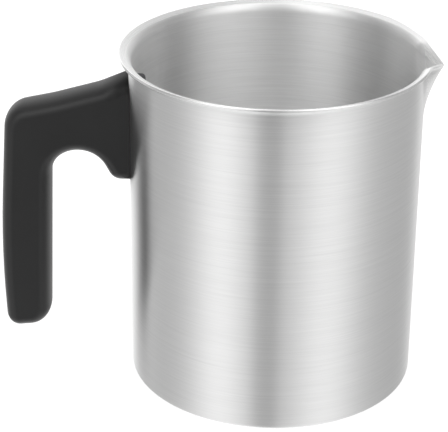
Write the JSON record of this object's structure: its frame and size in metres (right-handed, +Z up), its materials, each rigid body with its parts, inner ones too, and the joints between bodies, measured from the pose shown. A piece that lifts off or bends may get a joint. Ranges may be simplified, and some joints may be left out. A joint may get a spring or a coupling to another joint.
{
  "type": "candle melting pot",
  "caption": "Straight-sided brushed steel melting jug with a flared rim, a pressed V pouring lip and a one-piece moulded hook handle.",
  "frame": {"origin": "middle of the flat base, on the pot's axis, at the surface that the pot stands on", "axes": "+Z up along the pot's axis, -X towards the handle, +X towards the pouring lip, +Y across"},
  "size_m": [0.167, 0.1176, 0.13],
  "materials": {
    "steel_body": "fine horizontal brushing outside and inside, satin rim with a bright cut edge",
    "handle_plastic": "black heat-resistant moulding, satin with a fine mould texture",
    "screw_steel": "plain stainless, turned head",
    "washer_steel": "plain stainless, tumbled",
    "insert_brass": "plain turned brass"
  },
  "bodies": {
    "root": {"pot_body": "steel_body", "handle": "handle_plastic", "upper_screw": "screw_steel", "lower_screw": "screw_steel", "upper_washer": "washer_steel", "lower_washer": "washer_steel", "upper_insert": "insert_brass", "lower_insert": "insert_brass"}
  },
  "joints": []
}
